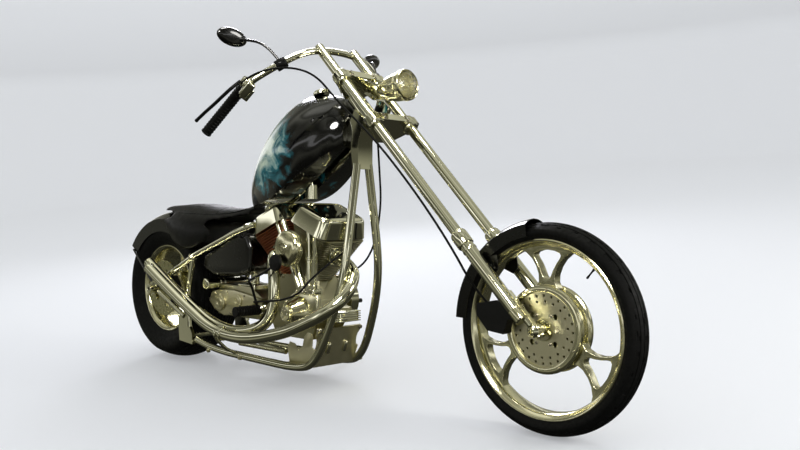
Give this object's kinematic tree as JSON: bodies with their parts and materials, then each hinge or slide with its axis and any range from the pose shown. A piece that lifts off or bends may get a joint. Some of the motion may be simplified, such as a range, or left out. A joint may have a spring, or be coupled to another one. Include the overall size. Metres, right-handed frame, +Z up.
{
  "type": "chopper motorcycle",
  "caption": "Long raked-fork custom motorcycle with V-twin engine, wide rear tyre and low seat, parked leaning on its side stand.",
  "frame": {"origin": "centre of the bounding box on the ground, with the motorcycle leaning left on its side stand", "axes": "+X forward, +Y to the rider's left, +Z up"},
  "size_m": [2.775, 0.9112, 1.4181],
  "materials": {
    "chrome": "polished chrome plate",
    "tyre": "matt black rubber",
    "rubber": "black rubber",
    "leather": "black leather, soft sheen",
    "black_paint": "gloss black paint",
    "black_parts": "satin black paint",
    "cast_alloy": "polished alloy",
    "steel": "machined steel",
    "lamp_glass": "clear glass",
    "tail_glass": "red lens"
  },
  "bodies": {
    "root": {"drive_belt": "rubber", "rear_axle": "chrome", "neck": "chrome", "backbone": "chrome", "downtubes": "chrome", "upper_stays": "chrome", "lower_stays": "chrome", "skid_plate": "chrome", "crankcase": "cast_alloy", "cylinders": "cast_alloy", "rocker_covers": "chrome", "pushrod_tubes": "chrome", "carburettor": "chrome", "air_cleaner": "chrome", "cam_cover": "chrome", "gearbox": "cast_alloy", "starter": "chrome", "primary_cover": "chrome", "exhaust_pipes": "chrome", "exhaust_bracket": "chrome", "canister": "chrome", "fuel_tank": "black_paint", "seat": "leather", "oil_tank": "black_paint", "rear_fender": "black_paint", "tail_lamp": "tail_glass", "foot_controls": "rubber", "frame_cables": "rubber", "stand_bracket": "chrome", "filler_cap": "chrome", "rear_caliper": "black_parts"},
    "steering": {"fork_tubes": "chrome", "fork_legs": "chrome", "front_axle": "chrome", "upper_clamp": "chrome", "lower_clamp": "chrome", "handlebar": "chrome", "grips": "rubber", "hand_levers": "chrome", "mirrors": "chrome", "headlight": "chrome", "headlight_lens": "lamp_glass", "front_fender": "black_paint", "caliper": "black_parts", "brake_hose": "rubber", "lamp_bracket": "chrome"},
    "front_wheel": {"front_tyre": "tyre", "front_rim": "chrome", "front_disc": "steel"},
    "rear_wheel": {"rear_tyre": "tyre", "rear_rim": "chrome", "rear_pulley": "steel", "rear_disc": "steel"},
    "side_stand": {"side_stand": "chrome"}
  },
  "joints": [
    {"name": "steering_turn", "type": "hinge", "parent": "root", "child": "steering", "pos_m": [0.31844, -0.0151, 0.97095], "axis": [-0.7067, 0.0862, 0.7022], "range_deg": [-35, 35]},
    {"name": "front_wheel_spin", "type": "hinge", "parent": "steering", "child": "front_wheel", "pos_m": [1.0535, -0.09352, 0.33189], "axis": [-0.0001, 0.9925, -0.1219], "continuous": true},
    {"name": "rear_wheel_spin", "type": "hinge", "parent": "root", "child": "rear_wheel", "pos_m": [-1.01151, -0.09419, 0.32752], "axis": [-0.0001, 0.9925, -0.1219], "continuous": true},
    {"name": "stand_fold", "type": "hinge", "parent": "root", "child": "side_stand", "pos_m": [-0.21163, 0.04666, 0.09571], "axis": [0.0468, 0.4811, 0.8754], "range_deg": [0, 84]}
  ]
}
